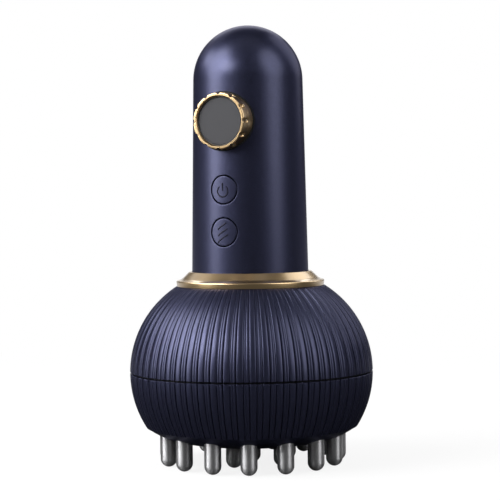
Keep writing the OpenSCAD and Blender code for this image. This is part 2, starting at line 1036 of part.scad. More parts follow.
// Small board that carries the charging socket
module charge_board() {
    color(board_green)
        translate([-charge_board_w / 2, wall_r(socket_z) - 4.2 - charge_board_len,
                   charge_board_top - charge_board_t])
            cube([charge_board_w, charge_board_len, charge_board_t]);
}

// Charging socket: an oval metal shell, closed at its inner end
module charge_socket() {
    color(steel)
        translate([0, socket_mouth - socket_len, socket_z])
            difference() {
                stadium_bar(socket_w, socket_h, socket_len);
                translate([0, over, 0])
                    stadium_bar(socket_w - 2 * socket_shell, socket_h - 2 * socket_shell, socket_len);
            }
}

// Contact tongue in the middle of the socket
module socket_tongue() {
    tongue = [6.7, 5.2, 0.7];
    color(black_plastic)
        translate([-tongue[0] / 2, socket_mouth - socket_len + over, socket_z - tongue[2] / 2])
            cube(tongue);
}

// Cup for the motor on five arms that end in screw ears
module motor_cradle() {
    hub_r = motor_r + cradle_wall;
    cup_top = cradle_floor_z + cradle_cup_h;
    arm_foot = shell_screw_pcr - shell_boss_r;
    color("#4a4d55")
        difference() {
            union() {
                translate([0, 0, cradle_floor_z])
                    cylinder(r = hub_r, h = cradle_cup_h);
                around(shell_screws_n, 0)
                    translate([cradle_arm_t / 2, 0, 0])
                        rotate([90, 0, -90])
                            linear_extrude(cradle_arm_t)
                                polygon([
                                    [hub_r - over, cradle_floor_z], [hub_r + over, cradle_floor_z],
                                    [arm_foot - 3, ledge_top_z], [shell_screw_pcr, ledge_top_z],
                                    [shell_screw_pcr, ear_top_z], [arm_foot - 1, ear_top_z],
                                    [hub_r + over, cup_top - 1], [hub_r - over, cup_top - 1]
                                ]);
                around(shell_screws_n, shell_screw_pcr)
                    translate([0, 0, ledge_top_z])
                        cylinder(r = shell_boss_r, h = cradle_ear_t);
            }
            translate([0, 0, motor_low_z])
                cylinder(r = motor_r + 0.15, h = cradle_cup_h);
            translate([0, 0, cradle_floor_z - over])
                cylinder(r = motor_boss_r + 0.3, h = cradle_floor_t + 2 * over);
            for (side = [-1, 1])
                translate([side * motor_screw_r, 0, cradle_floor_z - over])
                    cylinder(r = screw_hole_r, h = cradle_floor_t + 2 * over);
            around(shell_screws_n, shell_screw_pcr)
                translate([0, 0, ledge_top_z - over])
                    cylinder(r = screw_hole_r, h = cradle_ear_t + 2 * over);
        }
}

// Can of the vibration motor, with its bearing boss below
module motor_can() {
    color("#a7abb2")
        difference() {
            union() {
                translate([0, 0, motor_low_z])
                    cylinder(r = motor_r, h = motor_can_h);
                translate([0, 0, motor_low_z - motor_boss_h])
                    cylinder(r = motor_boss_r, h = motor_boss_h + over);
            }
            translate([0, 0, motor_low_z - motor_boss_h - over])
                cylinder(r = shaft_r + run_gap, h = shaft_top_z + 0.3 - motor_low_z + motor_boss_h + over);
            for (side = [-1, 1])
                translate([side * motor_screw_r, 0, motor_low_z - over])
                    cylinder(r = screw_hole_r, h = over + 3);
        }
}

// End cap of the motor
module motor_cap() {
    color(black_plastic)
        translate([0, 0, motor_top_z])
            cylinder(r = motor_r - 0.6, h = motor_cap_h);
}

// Solder terminals on the end cap
module motor_terminals() {
    tag = [0.6, 2.4, 4];
    color(steel)
        for (side = [-1, 1])
            translate([side * (motor_r - 5) - tag[0] / 2, -tag[1] / 2, motor_top_z + motor_cap_h])
                cube(tag);
}

// Screws through the cradle's floor into the motor's face
module motor_screws() {
    color(steel)
        for (side = [-1, 1])
            translate([side * motor_screw_r, 0, cradle_floor_z - screw_head_h])
                screw(cradle_floor_t + 2.5);
}

// Shaft of the motor
module motor_shaft() {
    color(steel)
        translate([0, 0, shaft_low_z])
            cylinder(r = shaft_r, h = shaft_top_z - shaft_low_z);
}

// Half-round weight that makes the head vibrate
module eccentric_weight() {
    hub_r = 3;
    color("#8d8f94")
        translate([0, 0, weight_top_z - weight_h])
            difference() {
                linear_extrude(weight_h) {
                    circle(hub_r);
                    intersection() {
                        circle(weight_r);
                        translate([-weight_r, -weight_r])
                            square([2 * weight_r, weight_r]);
                    }
                }
                translate([0, 0, -over])
                    cylinder(r = shaft_r, h = weight_h + 2 * over);
            }
}

handle_shell();
neck_ring();
upper_head_shell();
lower_head_shell();
seam_gasket();
pin_plate();
outer_pins();
inner_pins();
centre_pin();
heat_spreader();
heater_film();
thermostat();
spreader_screws();
shell_screws();
handle_screws();
dial_collar();
dial_seat();
dial_ring();
dial_magnets();
dial_clip();
display_lens();
display_module();
power_key();
mode_key();
power_plunger();
mode_plunger();
switch_cases();
control_board();
board_chips();
board_screws();
inner_frame();
battery_cell();
cell_tabs();
charge_board();
charge_socket();
socket_tongue();
motor_cradle();
motor_can();
motor_cap();
motor_terminals();
motor_screws();
motor_shaft();
eccentric_weight();
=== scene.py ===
"""Looks of the electric gua sha massager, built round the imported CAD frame.

The handle, the ribbed head, the gold trim, the dial, the keys and the stone pins are modelled here.
The pieces inside keep their CAD shape and get their finishes. Sizes in the classes are in millimetres,
but for the studio's, which are in metres.
"""
import json
import logging
import math
from dataclasses import dataclass, field
from enum import Enum

import bmesh
import bpy
from mathutils import Matrix, Vector


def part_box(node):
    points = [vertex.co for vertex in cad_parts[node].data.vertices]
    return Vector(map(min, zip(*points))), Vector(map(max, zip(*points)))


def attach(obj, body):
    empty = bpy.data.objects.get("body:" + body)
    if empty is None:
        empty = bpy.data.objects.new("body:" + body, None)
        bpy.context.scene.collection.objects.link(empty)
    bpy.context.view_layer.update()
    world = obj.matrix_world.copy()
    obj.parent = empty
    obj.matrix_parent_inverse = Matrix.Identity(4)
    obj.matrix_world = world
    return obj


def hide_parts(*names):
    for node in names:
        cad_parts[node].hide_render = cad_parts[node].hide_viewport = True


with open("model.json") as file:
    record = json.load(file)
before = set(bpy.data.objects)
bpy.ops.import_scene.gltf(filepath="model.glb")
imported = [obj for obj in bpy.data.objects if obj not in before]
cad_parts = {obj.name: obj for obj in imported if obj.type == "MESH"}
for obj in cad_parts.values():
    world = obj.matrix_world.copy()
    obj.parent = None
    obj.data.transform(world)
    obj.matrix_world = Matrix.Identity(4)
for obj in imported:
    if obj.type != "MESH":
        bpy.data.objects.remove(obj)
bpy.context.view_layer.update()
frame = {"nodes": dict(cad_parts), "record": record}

SLOT_OF = {row["node"]: row["material_slot"] for row in frame["record"]["subparts"]}
log = logging.getLogger("massager")

Pair = tuple[float, float]
Profile = list[Pair]
BMesh = bmesh.types.BMesh
BMVert = bmesh.types.BMVert
Tree = bpy.types.NodeTree
Node = bpy.types.Node
Socket = bpy.types.NodeSocket

MM = 0.001
SHARP_ANGLE = math.radians(38)

# Facets of round pieces
PIN_FACETS = 48
KEY_FACETS = 96
WINDOW_FACETS = 128
TRIM_FACETS = 192

# Millimetres within which points are merged: of one sweep, after a cut, and between strips of ribs
SAME_POINT = 1e-5
CUT_POINT = 1e-4
STRIP_POINT = 1e-3

# Range in which most of a noise pattern lies, and the roughness's drift to both sides over it
PATTERN_RANGE = (0.3, 0.7)
ROUGHNESS_DRIFT = 0.08


def mm_box(node: str) -> tuple[Vector, Vector]:
    """Gives a CAD node's lowest and highest corner in millimetres."""
    low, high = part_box(node)
    return low / MM, high / MM


def srgb(code: str) -> tuple[float, float, float, float]:
    """Turns an sRGB hex code into the linear colour that a socket takes.

    Args:
        code: six hex digits after a hash sign.

    Returns:
        Linear red, green and blue, and an alpha of 1.
    """
    channels = [int(code[i:i + 2], 16) / 255 for i in (1, 3, 5)]
    linear = [c / 12.92 if c <= 0.04045 else ((c + 0.055) / 1.055) ** 2.4 for c in channels]
    return (*linear, 1.0)


def add(tree: Tree, kind: str, inputs: dict[str | int, object] | None = None, **settings: object) -> Node:
    """Adds a node with its settings and links.

    Args:
        tree: node tree that gets the node.
        kind: type name of the node, without its ShaderNode.
        inputs: value or output socket for each input, by name, or by number where names repeat.
        **settings: properties of the node.

    Returns:
        The new node.
    """
    node = tree.nodes.new("ShaderNode" + kind)
    for name, value in settings.items():
        setattr(node, name, value)
    for name, value in (inputs or {}).items():
        if isinstance(value, Socket):
            tree.links.new(value, node.inputs[name])
        else:
            node.inputs[name].default_value = value
    return node


def per_mm(size: float) -> float:
    """Gives the texture scale whose features are about size millimetres wide."""
    return 1 / (size * MM)


def noise(tree: Tree, place: Socket, size: float, detail: float) -> Socket:
    """Adds a noise pattern from 0 to 1, with features about size millimetres wide."""
    inputs = {"Vector": place, "Scale": per_mm(size), "Detail": detail}
    return add(tree, "TexNoise", inputs).outputs["Fac"]


def maths(tree: Tree, operation: str, *values: Socket) -> Socket:
    """Adds a Math node and gives its result."""
    return add(tree, "Math", dict(enumerate(values)), operation=operation).outputs["Value"]


def remap(tree: Tree, value: Socket, reach: Pair, level: Pair = (0.0, 1.0), curve: str = "LINEAR") -> Socket:
    """Adds a ramp over a reach of a value, from one level to the other."""
    return add(tree, "MapRange", {
        "Value": value, "From Min": reach[0], "From Max": reach[1],
        "To Min": level[0], "To Max": level[1],
    }, interpolation_type=curve).outputs["Result"]


def colour_output(mix: Node) -> Socket:
    """Gives the colour result of a Mix node, which has one result per data type."""
    return next(s for s in mix.outputs if s.type == "RGBA")


@dataclass(frozen=True)
class Finish:
    """A finish of the massager, with the numbers that its shader starts from."""

    name: str
    colour: str
    metallic: float = 0.0
    roughness: float = 0.5
    grain_mm: float = 0.4
    grain_depth_mm: float = 0.01
    patch_mm: float = 9.0
    mottle: float = 0.06
    ior: float = 1.5
    coat: float = 0.0
    coat_roughness: float = 0.1
    edge_tint: str = "#ffffff"

    def build(self) -> bpy.types.Material:
        """Builds the material, unless it is there already.

        Returns:
            The material.
        """
        found = bpy.data.materials.get(self.name)
        if found:
            return found
        material = bpy.data.materials.new(self.name)
        material.use_nodes = True
        material.diffuse_color = srgb(self.colour)
        tree = material.node_tree
        tree.nodes.clear()
        place = add(tree, "TexCoord").outputs["Object"]
        shader = add(tree, "BsdfPrincipled", {
            "Metallic": self.metallic, "Coat Weight": self.coat, "Coat Roughness": self.coat_roughness,
            "Specular Tint": srgb(self.edge_tint),
        })
        if self.metallic < 1:
            shader.inputs["IOR"].default_value = self.ior
        self.dress(tree, shader, place)
        add(tree, "OutputMaterial", {"Surface": shader.outputs["BSDF"]})
        return material

    def dress(self, tree: Tree, shader: Node, place: Socket) -> None:
        """Links colour, roughness and relief of the surface.

        Args:
            tree: the material's node tree.
            shader: its Principled shader.
            place: Object coordinates.
        """
        patch = noise(tree, place, self.patch_mm, detail=3.0)
        self.link(tree, shader, patch, patch, noise(tree, place, self.grain_mm, detail=2.0))

    def link(self, tree: Tree, shader: Node, tint: Socket, wear: Socket, height: Socket) -> None:
        """Links colour, roughness and relief to patterns from 0 to 1.

        Args:
            tree: the material's node tree.
            shader: its Principled shader.
            tint: lets the colour drift darker and lighter, by mottle.
            wear: lets the roughness drift, by ROUGHNESS_DRIFT.
            height: raises the surface, by grain_depth_mm where it is 1.
        """
        *middle, alpha = srgb(self.colour)
        dark, light = ((*(c * k for c in middle), alpha) for k in (1 - self.mottle, 1 + self.mottle))
        mix = add(tree, "Mix", {"Factor": tint, "A": dark, "B": light}, data_type="RGBA")
        spread = (self.roughness * (1 - ROUGHNESS_DRIFT), self.roughness * (1 + ROUGHNESS_DRIFT))
        bump = add(tree, "Bump", {"Height": height, "Strength": 1.0, "Distance": self.grain_depth_mm * MM})
        tree.links.new(colour_output(mix), shader.inputs["Base Color"])
        tree.links.new(remap(tree, wear, PATTERN_RANGE, spread), shader.inputs["Roughness"])
        tree.links.new(bump.outputs["Normal"], shader.inputs["Normal"])


@dataclass(frozen=True)
class PearlLacquer(Finish):
    """Metal-flake lacquer on ABS: fine flakes under a satin clear coat, lavender where it shines."""

    flake_mm: float = 0.35

    def dress(self, tree: Tree, shader: Node, place: Socket) -> None:
        """Adds flakes that vary the colour, and a very shallow orange peel.

        Args:
            tree, shader, place: as in Finish.dress.
        """
        flakes = add(tree, "TexVoronoi", {"Vector": place, "Scale": per_mm(self.flake_mm)})
        grey = add(tree, "RGBToBW", {"Color": flakes.outputs["Color"]})
        peel = noise(tree, place, self.grain_mm, detail=1.0)
        self.link(tree, shader, grey.outputs["Val"], peel, peel)


@dataclass(frozen=True)
class PolishedStone(Finish):
    """Grey stone ground round and tumbled: clouds and specks of lighter and darker minerals."""

    cloud_mm: float = 5.0
    speck_mm: float = 0.7
    ground: float = 0.0

    def dress(self, tree: Tree, shader: Node, place: Socket) -> None:
        """Mixes soft clouds with mineral specks, and stretches the shine along the pin.

        Args:
            tree, shader, place: as in Finish.dress.
        """
        cloud = noise(tree, place, self.cloud_mm, detail=4.0)
        speck = add(tree, "TexVoronoi", {"Vector": place, "Scale": per_mm(self.speck_mm)})
        both = maths(tree, "MULTIPLY", cloud, speck.outputs["Distance"])
        shader.inputs["Anisotropic"].default_value = self.ground
        upright = add(tree, "CombineXYZ", {"Z": 1.0})
        tree.links.new(upright.outputs["Vector"], shader.inputs["Tangent"])
        self.link(tree, shader, both, cloud, speck.outputs["Distance"])


@dataclass(frozen=True)
class CircuitBoard(Finish):
    """A board or film with tracks, which show as slightly lighter, raised lines."""

    track_mm: float = 1.2
    waves_per_track: float = 1 / 6
    distortion: float = 6.0
    track_edge: Pair = (0.45, 0.55)

    def dress(self, tree: Tree, shader: Node, place: Socket) -> None:
        """Draws the tracks as thresholded waves.

        Args:
            tree, shader, place: as in Finish.dress.
        """
        tracks = add(tree, "TexWave", {
            "Vector": place, "Scale": per_mm(self.track_mm) * self.waves_per_track,
            "Distortion": self.distortion, "Detail": 1.0,
        }, wave_profile="TRI")
        edge = remap(tree, tracks.outputs["Fac"], self.track_edge)
        self.link(tree, shader, edge, edge, edge)


@dataclass(frozen=True)
class BrushedMetal(Finish):
    """Drawn or machined metal: fine lines along the height stretch its highlights."""

    squeeze: float = 0.06

    def dress(self, tree: Tree, shader: Node, place: Socket) -> None:
        """Stretches the grain along Z.

        Args:
            tree, shader, place: as in Finish.dress.
        """
        stretched = add(tree, "Mapping", {"Vector": place, "Scale": (1.0, 1.0, self.squeeze)})
        lines = noise(tree, stretched.outputs["Vector"], self.grain_mm, detail=3.0)
        self.link(tree, shader, lines, lines, lines)


class Finishes(Enum):
    """Every finish of the massager, by the record's material slot."""

    # Metal-flake lacquer on moulded ABS, satin: soft lavender highlights on near-black navy
    NAVY_PLASTIC = PearlLacquer(
        "navy_pearl_lacquer", "#2b2d42", metallic=0.9, roughness=0.39, grain_mm=1.6, grain_depth_mm=0.002,
        mottle=0.1, coat=0.25, coat_roughness=0.3, edge_tint="#9a9ab0")
    # Electroplating on ABS under clear lacquer: brown-gold, cream where it shines
    GOLD_PLATING = Finish(
        "champagne_gold_plating", "#b99e75", metallic=1.0, roughness=0.3, grain_mm=4.0, grain_depth_mm=0.001,
        mottle=0.03, coat=0.8, coat_roughness=0.16)
    # Dark and matt
    BLACK_RUBBER = Finish(
        "moulded_silicone", "#07070b", roughness=0.7, grain_mm=0.5, grain_depth_mm=0.01, ior=1.3)
    # Tumbled stone: a wide soft shine down each pin
    GREY_STONE = PolishedStone(
        "tumbled_grey_stone", "#b6b6b8", metallic=0.95, roughness=0.41, grain_depth_mm=0.002, mottle=0.12,
        ior=1.6, ground=0.8)
    ALUMINIUM = BrushedMetal(
        "mill_finished_aluminium", "#c4c6c8", metallic=1.0, roughness=0.38, grain_mm=0.5,
        grain_depth_mm=0.004)
    # Etched heating tracks
    AMBER_FILM = CircuitBoard(
        "laminated_polyimide", "#b4651c", roughness=0.3, grain_depth_mm=0.03, mottle=0.25, track_mm=2.0)
    # Spark-eroded grain
    BLACK_PLASTIC = Finish("moulded_black_abs", "#15151a", roughness=0.5, grain_depth_mm=0.012)
    STEEL = BrushedMetal("zinc_plated_steel", "#b9bcc2", metallic=1.0, roughness=0.34, grain_depth_mm=0.003)
    # Acrylic with a matt hard coat
    SMOKED_WINDOW = Finish(
        "anti_glare_smoked_acrylic", "#2c2c2f", roughness=0.45, grain_mm=0.3, grain_depth_mm=0.0005,
        mottle=0.01, ior=1.3)
    GREEN_BOARD = CircuitBoard(
        "green_solder_resist", "#17573c", roughness=0.4, grain_depth_mm=0.03, mottle=0.25)
    # Moulded, dull
    GREY_PLASTIC = Finish("glass_filled_nylon", "#4a4d55", roughness=0.6, grain_mm=0.6, grain_depth_mm=0.02)
    BLUE_WRAP = Finish(
        "pvc_shrink_wrap", "#3f74ad", roughness=0.28, grain_mm=3.0, grain_depth_mm=0.02, ior=1.53)
    # Motor can and weight
    MOTOR_STEEL = BrushedMetal(
        "nickel_plated_steel", "#a7abb2", metallic=1.0, roughness=0.3, grain_depth_mm=0.003)
    # Dark paint in the engraved symbols
    SYMBOL_PAINT = Finish("symbol_paint", "#06061a", roughness=0.6, grain_depth_mm=0.002, ior=1.3)


def arc(centre: Pair, radius: float, start: float, end: float, steps: int) -> Profile:
    """Lists points on an arc.

    Args:
        centre: middle of the arc.
        radius: its radius.
        start: angle of the first point in degrees.
        end: angle of the last point in degrees.
        steps: number of stretches between the points.

    Returns:
        steps + 1 points, both ends included.
    """
    angles = [math.radians(start + (end - start) * i / steps) for i in range(steps + 1)]
    return [(centre[0] + radius * math.cos(a), centre[1] + radius * math.sin(a)) for a in angles]


def line(start: Pair, end: Pair, steps: int) -> Profile:
    """Lists evenly spaced points on a straight line, without its last point."""
    return [(start[0] + (end[0] - start[0]) * i / steps, start[1] + (end[1] - start[1]) * i / steps)
            for i in range(steps)]


def weld(bm: BMesh, distance: float) -> None:
    """Merges points that lie within a distance, and turns all faces outwards."""
    bmesh.ops.remove_doubles(bm, verts=bm.verts, dist=distance)
    bmesh.ops.recalc_face_normals(bm, faces=bm.faces)


def revolve(profile: Profile, steps: int, closed: bool = True, angle: float = math.tau) -> BMesh:
    """Spins a profile of radius and height round Z.

    Args:
        profile: points of radius and height, in millimetres.
        steps: number of facets over the angle.
        closed: whether the last point is joined to the first.
        angle: how far the profile is spun.

    Returns:
        The spun mesh in millimetres.
    """
    bm = bmesh.new()
    ring = [bm.verts.new((radius, 0.0, height)) for radius, height in profile]
    ends = list(zip(ring, ring[1:])) + ([(ring[-1], ring[0])] if closed else [])
    edges = [bm.edges.new(pair) for pair in ends]
    bmesh.ops.spin(bm, geom=ring + edges, cent=(0, 0, 0), axis=(0, 0, 1), angle=angle, steps=steps,
                   use_merge=angle >= math.tau, use_duplicate=False)
    weld(bm, SAME_POINT)
    return bm


def repeat_round(bm: BMesh, angle: float, copies: int) -> None:
    """Adds copies of a whole mesh round Z, evenly spread over an angle from the mesh to the last copy."""
    bmesh.ops.spin(bm, geom=bm.verts[:] + bm.edges[:] + bm.faces[:], cent=(0, 0, 0), axis=(0, 0, 1),
                   angle=angle, steps=copies, use_merge=False, use_duplicate=True)


def face_front(bm: BMesh, height: float) -> None:
    """Turns a mesh made along +Z to point along -Y at a height."""
    turn = Matrix.Translation((0, 0, height)) @ Matrix.Rotation(math.pi / 2, 4, "X")
    bmesh.ops.transform(bm, matrix=turn, verts=bm.verts)


def put(name: str, data: bpy.types.ID) -> bpy.types.Object:
    """Puts data into the scene.

    Args:
        name: name of the object.
        data: its mesh, lamp or camera.

    Returns:
        The object, at the origin.
    """
    thing = bpy.data.objects.new(name, data)
    bpy.context.scene.collection.objects.link(thing)
    return thing


def link_mesh(bm: BMesh, name: str) -> bpy.types.Object:
    """Puts a mesh into the scene as it is.

    Args:
        bm: the mesh, which is freed.
        name: name of the object and its mesh.

    Returns:
        The object, at the origin.
    """
    mesh = bpy.data.meshes.new(name)
    bm.to_mesh(mesh)
    bm.free()
    return put(name, mesh)


def carve(bm: BMesh, cutters: list[BMesh]) -> BMesh:
    """Cuts closed meshes out of a closed mesh.

    Args:
        bm: the mesh to cut, in millimetres, which is freed.
        cutters: what is cut out of it, in millimetres, which are freed.

    Returns:
        The cut mesh in millimetres.
    """
    body = link_mesh(bm, "cut")
    tools = [link_mesh(cutter, "cut") for cutter in cutters]
    for tool in tools:
        cut = body.modifiers.new("cut", "BOOLEAN")
        cut.operation = "DIFFERENCE"
        cut.solver = "EXACT"
        cut.object = tool
    graph = bpy.context.evaluated_depsgraph_get()
    result = bmesh.new()
    result.from_mesh(body.evaluated_get(graph).data)
    for thing in [body, *tools]:
        mesh = thing.data
        bpy.data.objects.remove(thing)
        bpy.data.meshes.remove(mesh)
    bmesh.ops.remove_doubles(result, verts=result.verts, dist=CUT_POINT)
    return result


def settle(bm: BMesh, name: str, finish: Finishes, *nodes: str, body: str = "housing") -> None:
    """Turns a mesh into a piece with its finish, its body and the CAD nodes that it stands for.

    The piece is in metres and at the origin, and smooth but for its sharp edges.

    Args:
        bm: the mesh in millimetres, which is freed.
        name: name of the piece.
        finish: its finish.
        *nodes: CAD nodes that it replaces.
        body: CAD body that it moves with.
    """
    bmesh.ops.scale(bm, vec=(MM, MM, MM), verts=bm.verts)
    for face in bm.faces:
        face.smooth = True
    for edge in bm.edges:
        if len(edge.link_faces) == 2:
            edge.smooth = edge.calc_face_angle() < SHARP_ANGLE
    piece = link_mesh(bm, name)
    piece.data.materials.append(finish.value.build())
    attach(piece, body)
    if nodes:
        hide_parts(*nodes)
    log.info("%s: %d faces, rides on %s", piece.name, len(piece.data.polygons), body)


# Strokes of the two symbols, as places on the key in millimetres: a power sign and three sloping lines
SYMBOLS: dict[str, list[Profile]] = {
    "power": [[(-0.4, -0.4), (-0.4, 2.7)], arc((-0.4, -0.5), 2.2, 130, 410, 22)],
    "mode": [[(-2.4, 1.0), (-1.9, 1.7), (1.1, 3.6)], [(-2.4, -1.45), (-1.9, -0.8), (1.6, 1.4)],
             [(-2.4, -4.0), (-1.9, -3.3), (1.9, -0.75)]],
}


@dataclass
class Handle:
    """Domed handle: a drafted tube with holes for dial, keys and charging socket, and its two keys."""

    wall: float = 2.0
    base_r: float = 22.97
    top_r: float = 21.57
    ring_top_z: float = 75.9
    side_rows: int = 84
    dome_rows: int = 30
    inner_rows: int = 16
    edge_round: float = 0.22
    edge_steps: int = 4
    key_heights: dict[str, float] = field(default_factory=lambda: {"power": 108.0, "mode": 91.7})
    key_r: float = 5.3
    key_gap: float = 0.38
    key_depth: float = 2.4
    key_rows: int = 14
    groove_r: float = 0.3
    paint_r: float = 0.28
    paint_sink: float = 0.06
    dial_z: float = 134.3
    dial_bore_r: float = 8.3
    hole_depth: float = 4.0
    hole_over: float = 0.3
    socket_z: float = 82.0
    socket_w: float = 9.54
    socket_h: float = 3.86
    socket_cut: Pair = (18.0, 8.0)

    def __post_init__(self) -> None:
        """Takes the outer sizes from the CAD node."""
        low, high = mm_box("handle_shell")
        self.low_z = low.z
        self.dome_z = high.z - self.top_r

    def radius(self, z: float) -> float:
        """Gives the handle's outer radius at a height of its straight part."""
        return self.top_r + (self.dome_z - z) * (self.base_r - self.top_r) / (self.dome_z - self.ring_top_z)

    def out(self, x: float, z: float) -> float:
        """Gives how far in front of the axis the outer surface lies, at a place seen from the front."""
        return math.sqrt(max(self.radius(z) ** 2 - x ** 2, 0.0))

    def follow_front(self, bm: BMesh) -> None:
        """Bends a mesh that was made on the plane y = 0, so that this plane lies on the handle's front."""
        for vert in bm.verts:
            vert.co.y -= self.out(vert.co.x, vert.co.z)

    def shell(self) -> None:
        """Builds the shell with its holes."""
        foot_r = self.radius(self.low_z)
        profile = line((foot_r, self.low_z), (self.top_r, self.dome_z), self.side_rows)
        profile += arc((0, self.dome_z), self.top_r, 0, 90, self.dome_rows)
        profile += arc((0, self.dome_z), self.top_r - self.wall, 90, 0, self.inner_rows)
        profile += [(foot_r - self.wall, self.low_z)]
        cutters = [self.hole(z, self.key_r + self.key_gap) for z in self.key_heights.values()]
        cutters += [self.hole(self.dial_z, self.dial_bore_r), self.slot()]
        bm = carve(revolve(profile, TRIM_FACETS), cutters)
        settle(bm, "handle", Finishes.NAVY_PLASTIC, "handle_shell")

    def hole(self, z: float, radius: float) -> BMesh:
        """Makes the cutter of a round hole whose rim is rounded by edge_round.

        Args:
            z: height of its middle.
            radius: its radius.

        Returns:
            The cutter.
        """
        rim_r = radius + self.edge_round
        profile = [(0, -self.hole_depth), (radius, -self.hole_depth)]
        profile += arc((rim_r, -self.edge_round), self.edge_round, 180, 90, self.edge_steps)
        profile += [(rim_r + self.hole_over, self.hole_over), (0, self.hole_over)]
        bm = revolve(profile, KEY_FACETS, closed=False)
        face_front(bm, z)
        self.follow_front(bm)
        return bm

    def slot(self) -> BMesh:
        """Makes the cutter of the oval opening of the charging socket, at the back.

        Returns:
            The cutter.
        """
        start, length = self.socket_cut
        stretch = (self.socket_w - self.socket_h) / 2
        bm = bmesh.new()
        bmesh.ops.create_circle(bm, cap_ends=True, segments=PIN_FACETS, radius=self.socket_h / 2)
        for vert in bm.verts:
            vert.co.x += math.copysign(stretch, vert.co.x) if abs(vert.co.x) > CUT_POINT else 0
        extruded = bmesh.ops.extrude_face_region(bm, geom=bm.faces[:])
        moved = [v for v in extruded["geom"] if isinstance(v, BMVert)]
        bmesh.ops.translate(bm, vec=(0, 0, length), verts=moved)
        bmesh.ops.recalc_face_normals(bm, faces=bm.faces)
        place = Matrix.Translation((0, start, self.socket_z)) @ Matrix.Rotation(-math.pi / 2, 4, "X")
        bmesh.ops.transform(bm, matrix=place, verts=bm.verts)
        return bm

    def key(self, name: str, z: float) -> None:
        """Builds a key's cap, which lies flush with the handle and has an engraved symbol.

        Args:
            name: power or mode.
            z: height of its middle.
        """
        face_r = self.key_r - self.edge_round
        profile = [(face_r * i / self.key_rows, 0.0) for i in range(self.key_rows)]
        profile += arc((face_r, -self.edge_round), self.edge_round, 90, 0, self.edge_steps)
        profile += [(self.key_r, -self.key_depth), (0, -self.key_depth)]
        bm = revolve(profile, KEY_FACETS, closed=False)
        face_front(bm, z)
        self.follow_front(bm)
        bm = carve(bm, [self.stroke(path, z, self.groove_r) for path in SYMBOLS[name]])
        settle(bm, f"{name}_key_cap", Finishes.NAVY_PLASTIC, f"{name}_key", body=f"{name}_button")

    def stroke(self, path: Profile, z: float, radius: float, depth: float = 0.0) -> BMesh:
        """Makes a round bar along a stroke of a symbol, as a ball-ended cutter leaves it.

        Args:
            path: places on the key.
            z: height of the key's middle.
            radius: radius of the bar.
            depth: how far its middle lies below the handle's surface.

        Returns:
            The bar.
        """
        curve = bpy.data.curves.new("stroke", "CURVE")
        curve.dimensions = "3D"
        curve.bevel_depth = radius
        curve.bevel_resolution = 3
        curve.use_fill_caps = True
        spline = curve.splines.new("POLY")
        spline.points.add(len(path) - 1)
        for point, (x, up) in zip(spline.points, path):
            point.co = (x, -(self.out(x, z + up) - depth), z + up, 1)
        thing = bpy.data.objects.new("stroke", curve)
        bm = bmesh.new()
        bm.from_mesh(thing.to_mesh())
        thing.to_mesh_clear()
        bpy.data.objects.remove(thing)
        bpy.data.curves.remove(curve)
        weld(bm, SAME_POINT)
        return bm

    def symbol(self, name: str, z: float) -> None:
        """Builds the paint at the bottom of a symbol's grooves.

        Args:
            name: power or mode.
            z: height of the key's middle.
        """
        whole = bmesh.new()
        for path in SYMBOLS[name]:
            part = self.stroke(path, z, self.paint_r, self.paint_sink)
            mesh = bpy.data.meshes.new("part")
            part.to_mesh(mesh)
            part.free()
            whole.from_mesh(mesh)
            bpy.data.meshes.remove(mesh)
        settle(whole, f"{name}_symbol", Finishes.SYMBOL_PAINT, body=f"{name}_button")

    def build(self) -> None:
        """Builds the shell, the keys and their symbols."""
        self.shell()
        for name, z in self.key_heights.items():
            self.key(name, z)
            self.symbol(name, z)


